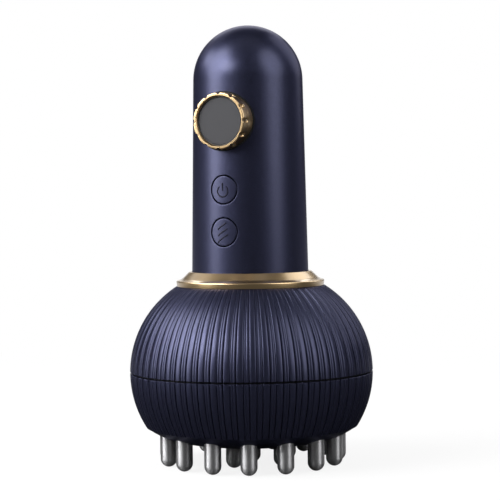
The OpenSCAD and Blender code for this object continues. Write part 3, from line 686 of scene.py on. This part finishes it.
@dataclass
class RibbedHead:
    """The two head shells, with wide and narrow ribs by turns, and the seal at their seam.

    knots are the places of a rib's points, from its left groove at -1 to its right groove at 1.
    """

    arc_r: float = 40.2
    mid_z: float = 36.2
    wall: float = 2.2
    pairs: int = 60
    wide_share: float = 0.56
    groove: float = 0.55
    wide_crown: float = 0.36
    narrow_crown: float = 0.16
    crown_power: int = 4
    split: float = 0.14
    edge: float = 0.12
    seam_gap: float = 0.14
    seal_depths: Pair = (1.2, 2.4)
    upper_rows: int = 40
    lower_rows: int = 28
    inner_rows: int = 8
    inner_reach: float = 1.03
    knots: tuple[float, ...] = (-1, -0.84, -0.74, -0.56, -0.26, 0, 0.26, 0.56, 0.74, 0.84, 1)

    def __post_init__(self) -> None:
        """Takes the outer radius and the heights from the CAD nodes."""
        lower = mm_box("lower_head_shell")
        gasket = mm_box("seam_gasket")
        self.head_r = lower[1].x
        self.neck_z = mm_box("upper_head_shell")[1].z
        self.base_z = lower[0].z
        self.seam = (gasket[0].z - self.seam_gap, gasket[1].z + self.seam_gap)
        self.centre_r = self.head_r - self.arc_r

    def angle_at(self, z: float) -> float:
        """Gives the angle, in degrees above the widest line, at which the arc reaches a height."""
        return math.degrees(math.asin((z - self.mid_z) / self.arc_r))

    def wall_r(self, z: float, inset: float) -> float:
        """Gives the radius at a height, drawn in by inset."""
        return self.centre_r + math.sqrt((self.arc_r - inset) ** 2 - (z - self.mid_z) ** 2)

    def section(self, low: float, high: float, rows: int) -> Profile:
        """Lists the closed section of a shell between two heights, with small bevels at its edges.

        Args:
            low: height of its foot.
            high: height of its head.
            rows: number of stretches of its outer side.

        Returns:
            Points of radius and height. The inner ones start past both ends and are brought back to them.
        """
        centre = (self.centre_r, self.mid_z)
        outer = arc(centre, self.arc_r, self.angle_at(low + self.edge), self.angle_at(high - self.edge), rows)
        inner = arc(centre, self.arc_r - self.wall, self.angle_at(high) * self.inner_reach,
                    self.angle_at(low) * self.inner_reach, self.inner_rows)
        foot, head = ((self.wall_r(z, self.edge), z) for z in (low, high))
        return [foot, *outer, head] + [(r, min(max(z, low), high)) for r, z in inner]

    def shell(self, name: str, low: float, high: float, rows: int, node: str) -> None:
        """Builds one ribbed shell: a strip of one wide and one narrow rib, set round the axis.

        Args:
            name: name of the piece.
            low: height of its foot.
            high: height of its head.
            rows: number of stretches of its outer side.
            node: CAD node that it replaces.
        """
        pitch = math.tau / self.pairs
        bm = revolve(self.section(low, high, rows), 2 * (len(self.knots) - 1), angle=pitch)
        for vert in bm.verts:
            self.press_rib(vert, pitch)
        repeat_round(bm, math.tau - pitch, self.pairs - 1)
        weld(bm, STRIP_POINT)
        settle(bm, name, Finishes.NAVY_PLASTIC, node)

    def press_rib(self, vert: BMVert, pitch: float) -> None:
        """Moves a point of the strip sideways to its rib and inwards by the rib's rounding.

        Args:
            vert: the point, on the outer or the inner wall.
            pitch: angle of one wide and one narrow rib.
        """
        radius = math.hypot(vert.co.x, vert.co.y)
        share = math.atan2(vert.co.y, vert.co.x) / pitch
        narrow = share > 0.5 + SAME_POINT
        across = self.knots[round((share * 2 - (1 if narrow else 0)) * (len(self.knots) - 1))]
        width = 1 - self.wide_share if narrow else self.wide_share
        angle = pitch * ((self.wide_share if narrow else 0.0) + width * (across + 1) / 2)
        angle -= pitch * (1 + self.wide_share) / 2
        outside = math.hypot(radius - self.centre_r, vert.co.z - self.mid_z) > self.arc_r - self.wall / 2
        if outside:
            inset = (self.narrow_crown if narrow else self.wide_crown) * across ** self.crown_power
            if narrow and across == 0:
                inset = self.split
            if abs(across) == 1:
                inset = self.groove
            radius -= inset * radius / self.head_r
        vert.co.x = radius * math.cos(angle)
        vert.co.y = radius * math.sin(angle)

    def seal(self) -> None:
        """Builds the seal, set back so that the seam reads as a dark line."""
        low, high = mm_box("seam_gasket")
        outer, inner = (self.head_r - depth for depth in self.seal_depths)
        bm = revolve([(inner, low.z), (outer, low.z), (outer, high.z), (inner, high.z)], TRIM_FACETS)
        settle(bm, "recessed_seam_seal", Finishes.BLACK_RUBBER, "seam_gasket")

    def build(self) -> None:
        """Builds both shells and the seal."""
        self.shell("upper_ribbed_shell", self.seam[1], self.neck_z, self.upper_rows, "upper_head_shell")
        self.shell("lower_ribbed_shell", self.base_z, self.seam[0], self.lower_rows, "lower_head_shell")
        self.seal()


@dataclass
class NeckRing:
    """Gold ring between handle and head: an upright band, a rounded lip, a waist and a slope to the rim."""

    facets: int = 256
    bore_gap: float = 0.1
    foot_w: float = 1.8
    foot_h: float = 1.0
    foot_inset: float = 0.2
    foot_bevel: float = 0.1
    band_h: float = 2.3
    lip_r: float = 0.5
    waist: Pair = (2.0, 0.5)
    waist_round: float = 0.8
    waist_steps: int = 6
    slope_w: float = 4.9
    slope_drop: float = 0.4
    rim_r: float = 0.45
    rim_shift: Pair = (0.35, 0.05)

    def build(self) -> None:
        """Spins the ring's section."""
        low, high = mm_box("neck_ring")
        outer_r = high.x
        bore_r = mm_box("handle_shell")[1].x + self.bore_gap
        foot_r = outer_r - self.foot_inset
        lip_z = low.z + self.band_h
        lip = (outer_r - self.lip_r, lip_z)
        waist = (outer_r - self.waist[0], lip_z + self.waist[1])
        slope_end = (outer_r - self.slope_w, high.z - self.slope_drop)
        rim = (slope_end[0] - self.rim_shift[0], slope_end[1] - self.rim_shift[1])
        inner_r, step_z = bore_r - self.foot_w, low.z + self.foot_h
        profile = [(inner_r, low.z), (foot_r - self.foot_bevel, low.z)]
        profile += [(foot_r, low.z + self.foot_bevel)]
        profile += arc((outer_r - self.lip_r, lip_z - self.lip_r), self.lip_r, 0, 70, 8)
        profile += self.fillet(lip, waist, slope_end)
        profile += arc(rim, self.rim_r, 45, 88, 5)
        profile += [(bore_r, high.z), (bore_r, step_z), (inner_r, step_z)]
        bm = revolve(profile, self.facets)
        settle(bm, "gold_neck_ring", Finishes.GOLD_PLATING, "neck_ring")

    def fillet(self, before: Pair, corner: Pair, after: Pair) -> Profile:
        """Rounds the corner at the waist, from waist_round before it to waist_round after it.

        Args:
            before: a point on the straight stretch before the corner.
            corner: the corner.
            after: a point on the straight stretch after it.

        Returns:
            Points of the curve.
        """
        middle = Vector(corner)
        start, end = (middle + (Vector(p) - middle).normalized() * self.waist_round for p in (before, after))
        shares = [i / self.waist_steps for i in range(self.waist_steps + 1)]
        return [tuple(start * (1 - t) ** 2 + middle * 2 * t * (1 - t) + end * t ** 2) for t in shares]


@dataclass
class Dial:
    """Dial on the handle: a gold collar on a black ring that paints the shadow line at its foot, a turning
    ring with notches, and the window.
    """

    handle: Handle
    collar_r: float = 11.0
    collar_gap: float = 0.1
    collar_rows: int = 10
    draft: float = 0.11
    # Sizes of the black ring under the collar, which is painted shade: it stands in for the shadow line round
    # the collar's foot
    seal_h: float = 0.3
    seal_sink: float = 0.02
    seal_r: float = 11.5
    seal_bore_r: float = 8.6
    seal_bevel: float = 0.2
    ring_facets: int = 480
    ring_bore_r: float = 9.45
    ring_taper: float = 0.1
    heel: float = 0.03
    edge_round: float = 0.45
    lip_r: float = 9.3
    lip_slope: tuple[Pair, ...] = ((0.5, 0.0), (0.44, 0.06), (0.0, 0.95))
    lip_gap: float = 0.12
    notches: int = 12
    notch_r: float = 1.0
    notch_len: float = 2.4
    bite: float = 0.8
    seat_r: float = 9.38
    seat_depth: float = 1.5
    seat_gap: float = 0.04
    seat_rise: float = 0.08
    seat_bevel: float = 0.06
    window_bevel: float = 0.12

    def __post_init__(self) -> None:
        """Takes the places from the CAD nodes, as distances in front of the handle's axis."""
        low, high = mm_box("dial_ring")
        self.ring_back, self.ring_front, self.ring_r = -high.y, -low.y, high.x
        low, high = mm_box("display_lens")
        self.window_back, self.window_front, self.window_r = -high.y, -low.y, high.x

    def collar(self) -> None:
        """Builds the collar, whose foot follows the handle's surface."""
        bore_r = self.handle.dial_bore_r
        outer = [(self.collar_r, i / self.collar_rows) for i in range(self.collar_rows + 1)]
        bm = revolve(outer + [(bore_r, 1.0), (bore_r, 0.0)], TRIM_FACETS)
        self.stand_on_handle(bm, self.seal_h, self.ring_back - self.collar_gap)
        settle(bm, "dial_collar_ring", Finishes.GOLD_PLATING, "dial_collar")

    def seal(self) -> None:
        """Builds a black ring round the foot of the collar: painted shade, standing in for the shadow line
        there.
        """
        outer, bore, bevel = self.seal_r, self.seal_bore_r, self.seal_bevel
        profile = [(outer, 0.0), (outer, 1 - bevel), (outer - bevel, 1.0), (bore, 1.0), (bore, 0.0)]
        bm = revolve(profile, TRIM_FACETS)
        self.stand_on_handle(bm, -self.seal_sink, None)
        settle(bm, "collar_shade_ring", Finishes.BLACK_RUBBER)

    def stand_on_handle(self, bm: BMesh, lift: float, front: float | None) -> None:
        """Turns a ring of unit height to the front and stretches it from the handle's surface outwards.

        Behind the turning ring it grows wider towards the handle, by the draft.

        Args:
            bm: the ring, from 0 to 1 along Z.
            lift: height of its foot above the handle's surface.
            front: distance of its front face from the handle's axis, or None for the shade ring's height.
        """
        face_front(bm, self.handle.dial_z)
        for vert in bm.verts:
            share = -vert.co.y
            skin = self.handle.out(vert.co.x, vert.co.z)
            top = skin + self.seal_h if front is None else front
            vert.co.y = -(skin + lift + (top - skin - lift) * share)
            flare = 1 + self.draft * max(self.ring_back + vert.co.y, 0.0) / self.collar_r
            vert.co.x *= flare
            vert.co.z = self.handle.dial_z + (vert.co.z - self.handle.dial_z) * flare

    def ring(self) -> None:
        """Builds the turning ring and presses the notches into its front edge."""
        front_r, edge_z = self.ring_r - self.ring_taper, self.ring_front - self.edge_round
        lip_back = self.window_front + self.lip_gap
        profile = [(self.ring_bore_r, self.ring_back), (self.ring_r - self.heel, self.ring_back)]
        profile += line((self.ring_r, self.ring_back + self.heel), (front_r, edge_z), 26)
        profile += arc((front_r - self.edge_round, edge_z), self.edge_round, 0, 90, 10)
        profile += [(self.lip_r + out, self.ring_front - down) for out, down in self.lip_slope]
        profile += [(self.lip_r, lip_back), (self.ring_bore_r, lip_back)]
        bm = revolve(profile, self.ring_facets)
        for vert in bm.verts:
            self.press_notch(vert)
        face_front(bm, self.handle.dial_z)
        settle(bm, "notched_dial_ring", Finishes.GOLD_PLATING, "dial_ring", body="dial")

    def press_notch(self, vert: BMVert) -> None:
        """Pushes a point out of the nearest notch, a ball-ended scoop that runs off the front edge.

        Args:
            vert: the point, before the ring is turned to the front.
        """
        radius = math.hypot(vert.co.x, vert.co.y)
        if radius < self.ring_r - 2 * self.bite:
            return
        step = math.tau / self.notches
        angle = math.atan2(vert.co.y, vert.co.x)
        middle = round((angle - math.pi / 2) / step) * step + math.pi / 2
        centre_r = self.ring_r + self.notch_r - self.bite
        aside = radius * math.sin(angle - middle)
        below = min(vert.co.z - (self.ring_front - self.notch_len), 0.0)
        room = self.notch_r ** 2 - aside ** 2 - below ** 2
        if room <= 0:
            return
        limit = (centre_r - math.sqrt(room)) / math.cos(angle - middle)
        if radius > limit:
            vert.co.x *= limit / radius
            vert.co.y *= limit / radius

    def seat(self) -> None:
        """Builds the dark wall round the window."""
        back, top = self.ring_back - self.seat_depth, self.window_front + self.seat_rise
        inner_r = self.window_r + self.seat_gap
        profile = [(inner_r, back), (inner_r, top - self.seat_bevel), (inner_r + self.seat_bevel, top),
                   (self.seat_r, top), (self.seat_r, back)]
        bm = revolve(profile, WINDOW_FACETS)
        face_front(bm, self.handle.dial_z)
        settle(bm, "window_surround", Finishes.BLACK_PLASTIC, "dial_seat")

    def window(self) -> None:
        """Builds the window with a small chamfer."""
        back, front, radius, bevel = self.window_back, self.window_front, self.window_r, self.window_bevel
        profile = [(0, back), (radius, back), (radius, front - bevel), (radius - bevel, front), (0, front)]
        bm = revolve(profile, WINDOW_FACETS, closed=False)
        face_front(bm, self.handle.dial_z)
        settle(bm, "smoked_display_window", Finishes.SMOKED_WINDOW, "display_lens")

    def build(self) -> None:
        """Builds all pieces of the dial."""
        self.collar()
        # The black ring round the collar's foot is painted shade, drawn as a dark line there
        self.seal()
        self.ring()
        self.seat()
        self.window()


@dataclass
class PinPlate:
    """Domed plate below the head, and the stone pins in it.

    rings gives the number of pins and the radius of each ring, by CAD node.
    """

    facets: int = 240
    crown_r: float = 160.0
    edge_r: float = 29.0
    plate_r: float = 41.4
    plate_t: float = 1.9
    rim_rise: float = 0.1
    rim_insets: Pair = (0.3, 2.0)
    pin_r: float = 3.25
    pin_gap: float = 0.06
    hole_span: Pair = (3.0, 20.0)
    head_w: float = 0.65
    head_h: float = 1.4
    rings: dict[str, tuple[int, float]] = field(
        default_factory=lambda: {"outer_pins": (15, 34.0), "inner_pins": (5, 16.0), "centre_pin": (1, 0.0)})

    def plate(self) -> None:
        """Builds the plate, a shallow crown with a rounder edge, and its holes for the pins."""
        low_z = mm_box("pin_plate")[0].z
        base_z = mm_box("lower_head_shell")[0].z
        crown_c = low_z + self.crown_r
        corner = math.hypot(self.plate_r, crown_c - base_z)
        gap = self.crown_r - self.edge_r
        turn = math.acos((gap ** 2 + corner ** 2 - self.edge_r ** 2) / (2 * gap * corner))
        start = math.degrees(math.atan2(self.plate_r, crown_c - base_z) - turn)
        edge_c = (gap * math.sin(math.radians(start)), crown_c - gap * math.cos(math.radians(start)))
        end = math.degrees(math.atan2(base_z - edge_c[1], self.plate_r - edge_c[0]))
        profile = arc((0, crown_c), self.crown_r, -90, start - 90, 40)
        profile += arc(edge_c, self.edge_r, start - 90, end, 16)[1:]
        profile += [(self.plate_r - inset, base_z + self.rim_rise) for inset in self.rim_insets]
        profile += [(r, z + self.plate_t) for r, z in arc((0, crown_c), self.crown_r, start - 90, -90, 10)]
        holes = [self.hole(x, y, low_z) for x, y in self.places()]
        bm = carve(revolve(profile, self.facets, closed=False), holes)
        settle(bm, "domed_pin_plate", Finishes.NAVY_PLASTIC, "pin_plate")

    def places(self) -> Profile:
        """Lists the places of all pins, each ring's first one at the front."""
        return [(r * math.sin(math.tau * i / n), -r * math.cos(math.tau * i / n))
                for n, r in self.rings.values() for i in range(n)]

    def hole(self, x: float, y: float, low_z: float) -> BMesh:
        """Makes the cutter of one pin hole.

        Args:
            x: the pin's place to the right.
            y: its place to the back.
            low_z: height of the plate's lowest point.

        Returns:
            The cutter.
        """
        radius, foot, top = self.pin_r + self.pin_gap, low_z - self.hole_span[0], self.hole_span[1]
        bm = revolve([(0, foot), (radius, foot), (radius, top), (0, top)], PIN_FACETS, closed=False)
        bmesh.ops.translate(bm, vec=(x, y, 0), verts=bm.verts)
        return bm

    def pins(self, node: str) -> None:
        """Builds one ring of pins: round tips, straight shanks and shouldered heads.

        Args:
            node: CAD node that the ring replaces.
        """
        count, ring_r = self.rings[node]
        top = mm_box(node)[1].z
        neck_z, head_r = top - self.head_h, self.pin_r + self.head_w
        profile = arc((0, self.pin_r), self.pin_r, -90, 0, 12)
        profile += line((self.pin_r, self.pin_r), (self.pin_r, neck_z), 4)[1:]
        profile += [(self.pin_r, neck_z), (head_r, neck_z), (head_r, top), (0, top)]
        bm = revolve(profile, PIN_FACETS, closed=False)
        bmesh.ops.translate(bm, vec=(0, -ring_r, 0), verts=bm.verts)
        if count > 1:
            repeat_round(bm, math.tau * (count - 1) / count, count - 1)
        settle(bm, node.replace("_pin", "_stone_pin"), Finishes.GREY_STONE, node)

    def build(self) -> None:
        """Builds the plate and all pins."""
        self.plate()
        for node in self.rings:
            self.pins(node)


@dataclass(frozen=True)
class SoftBox:
    """A soft box that looks at the middle of the massager.

    turn is in degrees round the axis from the camera, positive to the right of the picture, and lift in
    degrees above the horizon. distance and size are in metres, power in watts.
    """

    name: str
    turn: float
    lift: float
    distance: float
    size: Pair
    power: float


SOFT_BOXES = (
    SoftBox("left_soft_box", -73, 28, 0.9, (0.64, 1.05), 15.0),
    SoftBox("front_left_soft_box", -46, 30, 0.9, (0.36, 0.3), 3.8),
    SoftBox("far_left_soft_box", -108, 33, 0.9, (0.34, 0.34), 2.2),
    SoftBox("right_soft_box", 56, 29, 1.1, (0.8, 1.25), 9.5),
    SoftBox("right_back_soft_box", 131, 31, 1.2, (0.8, 1.15), 4.4),
    SoftBox("left_back_soft_box", -142, 39, 1.2, (0.8, 0.7), 0.9),
    SoftBox("back_soft_box", 180, 34, 1.2, (0.9, 0.45), 2.6),
    SoftBox("top_soft_box", 0, 82, 1.2, (0.9, 0.8), 0.6),
)


@dataclass
class Studio:
    """Camera, lamps, floor and surroundings, in metres.

    The floor glows where the camera sees it, from near to far, and where metal reflects the stretch behind
    the massager. The wall glows between two shares of facing away from the camera.
    """

    camera_at: tuple[float, float, float] = (0.2990, -0.6039, 0.1052)
    pitch: float = 0.0312
    roll: float = 0.0125
    lens: float = 122.7
    aim: tuple[float, float, float] = (0, 0, 0.09)
    floor_r: float = 12.0
    floor_matt: str = "#cfcfcf"
    # Painted shade: the floor's matt colour as metal reflects it, much darker than the floor is
    floor_in_metal: str = "#404040"
    glow_reach: Pair = (0.1, 0.5)
    glow_seen: Pair = (0.86, 1.0)
    glow_in_metal: Pair = (0.0, 0.7)
    wall_facing: Pair = (0.94, 0.985)
    room_level: float = 0.08
    room_light: float = 0.4

    def away(self) -> Vector:
        """Gives the level direction from the camera to the massager."""
        x, y, _ = self.camera_at
        return Vector((-x, -y, 0)).normalized()

    def camera(self) -> None:
        """Places the camera at the photograph's angle."""
        data = bpy.data.cameras.new("camera")
        data.sensor_width = 36
        data.lens = self.lens
        data.clip_start = 0.01
        thing = put("camera", data)
        x, y, _ = self.camera_at
        heading = math.atan2(x, -y)
        turn = Matrix.Rotation(heading, 4, "Z") @ Matrix.Rotation(math.pi / 2 - self.pitch, 4, "X")
        thing.matrix_world = Matrix.Translation(self.camera_at) @ turn @ Matrix.Rotation(-self.roll, 4, "Z")
        bpy.context.scene.camera = thing

    def lamp(self, box: SoftBox) -> None:
        """Places a soft box.

        Args:
            box: the soft box.
        """
        x, y, _ = self.camera_at
        angle = math.atan2(y, x) + math.radians(box.turn)
        up = math.radians(box.lift)
        way = Vector((math.cos(up) * math.cos(angle), math.cos(up) * math.sin(angle), math.sin(up)))
        data = bpy.data.lights.new(box.name, "AREA")
        data.shape = "ELLIPSE"
        data.size, data.size_y = box.size
        data.energy = box.power
        thing = put(box.name, data)
        thing.location = Vector(self.aim) + way * box.distance
        thing.rotation_euler = way.to_track_quat("Z", "Y").to_euler()

    def floor(self) -> None:
        """Lays a plain floor, near-white to the camera, with painted shade where metal reflects it."""
        bm = bmesh.new()
        bmesh.ops.create_circle(bm, cap_ends=True, segments=KEY_FACETS, radius=self.floor_r)
        thing = link_mesh(bm, "floor")
        thing.data.materials.append(self.floor_material())

    def floor_material(self) -> bpy.types.Material:
        """Builds the floor's material, matt paper that glows as a lit white room would, painted dark grey
        where metal reflects it.

        Returns:
            The material.
        """
        material = bpy.data.materials.new("pale_floor")
        material.use_nodes = True
        tree = material.node_tree
        tree.nodes.clear()
        camera, gloss = self.shown(tree)
        # Painted shade: rays that metal reflects see the floor's matt colour as dark grey
        matt_colour_or_shade = add(tree, "Mix", {
            "Factor": gloss, "A": srgb(self.floor_matt), "B": srgb(self.floor_in_metal),
        }, data_type="RGBA")
        matt = add(tree, "BsdfDiffuse", {"Color": colour_output(matt_colour_or_shade)})
        glow = add(tree, "Emission", {"Color": (1, 1, 1, 1), "Strength": 1.0})
        place = add(tree, "TexCoord").outputs["Object"]
        far = add(tree, "VectorMath", {0: place}, operation="LENGTH")
        behind = add(tree, "VectorMath", {0: place, 1: self.away()}, operation="DOT_PRODUCT")
        seen = remap(tree, far.outputs["Value"], self.glow_reach, self.glow_seen, "SMOOTHSTEP")
        white = maths(tree, "MULTIPLY", camera, seen)
        shine = remap(tree, behind.outputs["Value"], self.glow_reach, self.glow_in_metal, "SMOOTHSTEP")
        share = maths(tree, "MULTIPLY_ADD", gloss, shine, white)
        mix = add(tree, "MixShader", {0: share, 1: matt.outputs["BSDF"], 2: glow.outputs["Emission"]})
        add(tree, "OutputMaterial", {"Surface": mix.outputs["Shader"]})
        return material

    def shown(self, tree: Tree) -> tuple[Socket, Socket]:
        """Adds the kinds of ray that a surface tells apart.

        Args:
            tree: node tree that gets them.

        Returns:
            1 for the camera's rays, and 1 for the rays that metal reflects or glass lets through.
        """
        path = add(tree, "LightPath")
        gloss = maths(tree, "MAXIMUM", path.outputs["Is Glossy Ray"], path.outputs["Is Transmission Ray"])
        return path.outputs["Is Camera Ray"], gloss

    def world(self) -> None:
        """Builds the room: a white wall, which metal shows only where it stands behind the massager."""
        world = bpy.data.worlds.new("studio")
        bpy.context.scene.world = world
        world.use_nodes = True
        tree = world.node_tree
        tree.nodes.clear()
        way = add(tree, "TexCoord").outputs["Generated"]
        facing = add(tree, "VectorMath", {0: way, 1: self.away()}, operation="DOT_PRODUCT")
        level = (self.room_level, 1.0)
        wall = remap(tree, facing.outputs["Value"], self.wall_facing, level, "SMOOTHSTEP")
        camera, gloss = self.shown(tree)
        seen = maths(tree, "MAXIMUM", camera, wall)
        shown = maths(tree, "MAXIMUM", camera, gloss)
        glow = add(tree, "Mix", {"Factor": shown, "A": self.room_light, "B": seen}, data_type="FLOAT")
        room = add(tree, "Background", {"Color": (1, 1, 1, 1), "Strength": glow.outputs[0]})
        add(tree, "OutputWorld", {"Surface": room.outputs["Background"]})

    def build(self) -> None:
        """Sets up everything that isn't part of the massager."""
        self.camera()
        self.floor()
        self.world()
        for box in SOFT_BOXES:
            self.lamp(box)
        bpy.context.scene.view_settings.view_transform = "Standard"


def dress_inner_pieces() -> None:
    """Gives every CAD node the finish of its slot."""
    for node, thing in frame["nodes"].items():
        material = Finishes[SLOT_OF[node].upper()].value.build()
        thing.data.materials.clear()
        thing.data.materials.append(material)
        log.info("%s: %s", node, material.name)


def main() -> None:
    """Builds the massager round the frame and sets up the studio."""
    logging.basicConfig(level=logging.INFO, format="%(message)s")
    Studio().build()
    dress_inner_pieces()
    handle = Handle()
    handle.build()
    RibbedHead().build()
    NeckRing().build()
    Dial(handle).build()
    PinPlate().build()


if __name__ == "__main__":
    main()
